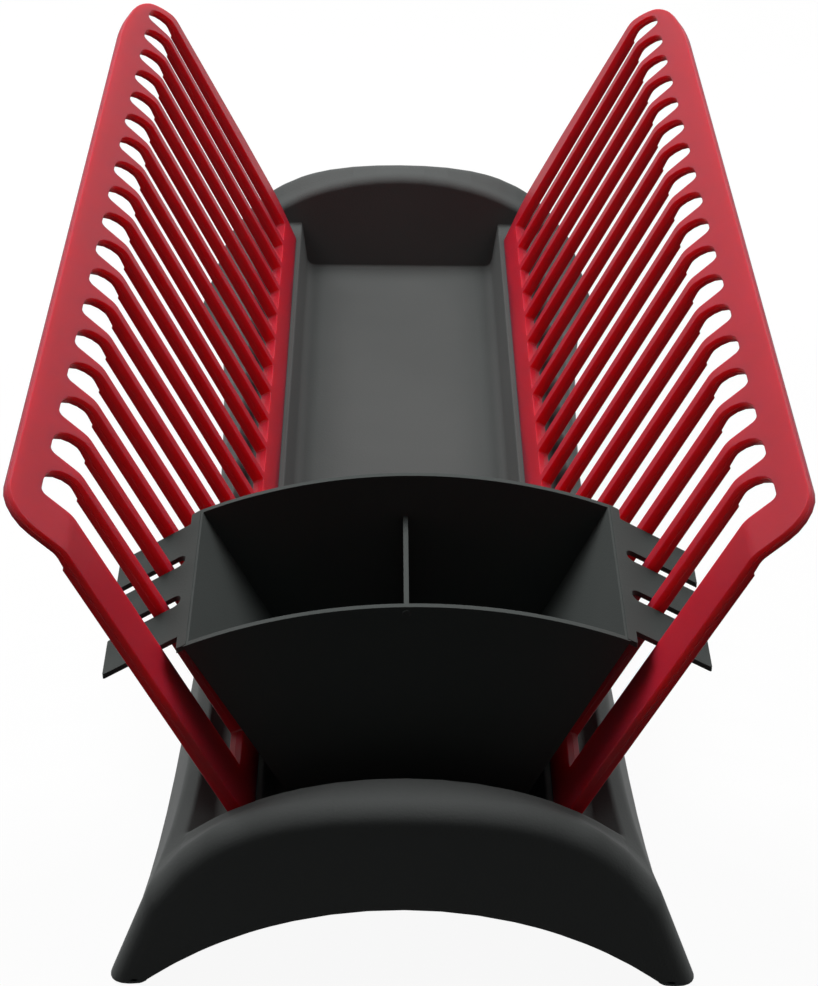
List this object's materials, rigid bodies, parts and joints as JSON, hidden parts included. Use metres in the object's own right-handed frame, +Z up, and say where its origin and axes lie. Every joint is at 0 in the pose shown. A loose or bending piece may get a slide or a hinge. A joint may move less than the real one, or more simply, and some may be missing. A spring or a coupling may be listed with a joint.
{
  "type": "plastic dish drainer",
  "caption": "Dish drainer: an arched drip tray carries two leaning ribbed plate racks, with a lift-out two-cell cutlery holder between them at the front.",
  "frame": {"origin": "on the ground under the middle of the drip tray", "axes": "+Z up, +Y along the length from the cutlery holder at the front towards the back, +X to the right seen from the front"},
  "size_m": [0.259, 0.493, 0.1919],
  "materials": {
    "charcoal_plastic": "fine matt texture, dark charcoal grey",
    "crimson_plastic": "soft satin, deep crimson red",
    "slate_plastic": "fine matt texture, dark slate grey"
  },
  "bodies": {
    "tray": {"drip_tray": "charcoal_plastic"},
    "left_rack": {"left_plate_rack": "crimson_plastic"},
    "right_rack": {"right_plate_rack": "crimson_plastic"},
    "holder": {"cutlery_holder": "slate_plastic"}
  },
  "joints": [
    {"name": "holder_lift", "type": "slide", "parent": "tray", "child": "holder", "axis": [0, 0, 1], "range_m": [0, 0.16]},
    {"name": "left_rack_lift", "type": "slide", "parent": "tray", "child": "left_rack", "axis": [0, 0, 1], "range_m": [0, 0.009]},
    {"name": "right_rack_lift", "type": "slide", "parent": "tray", "child": "right_rack", "axis": [0, 0, 1], "range_m": [0, 0.009]}
  ]
}
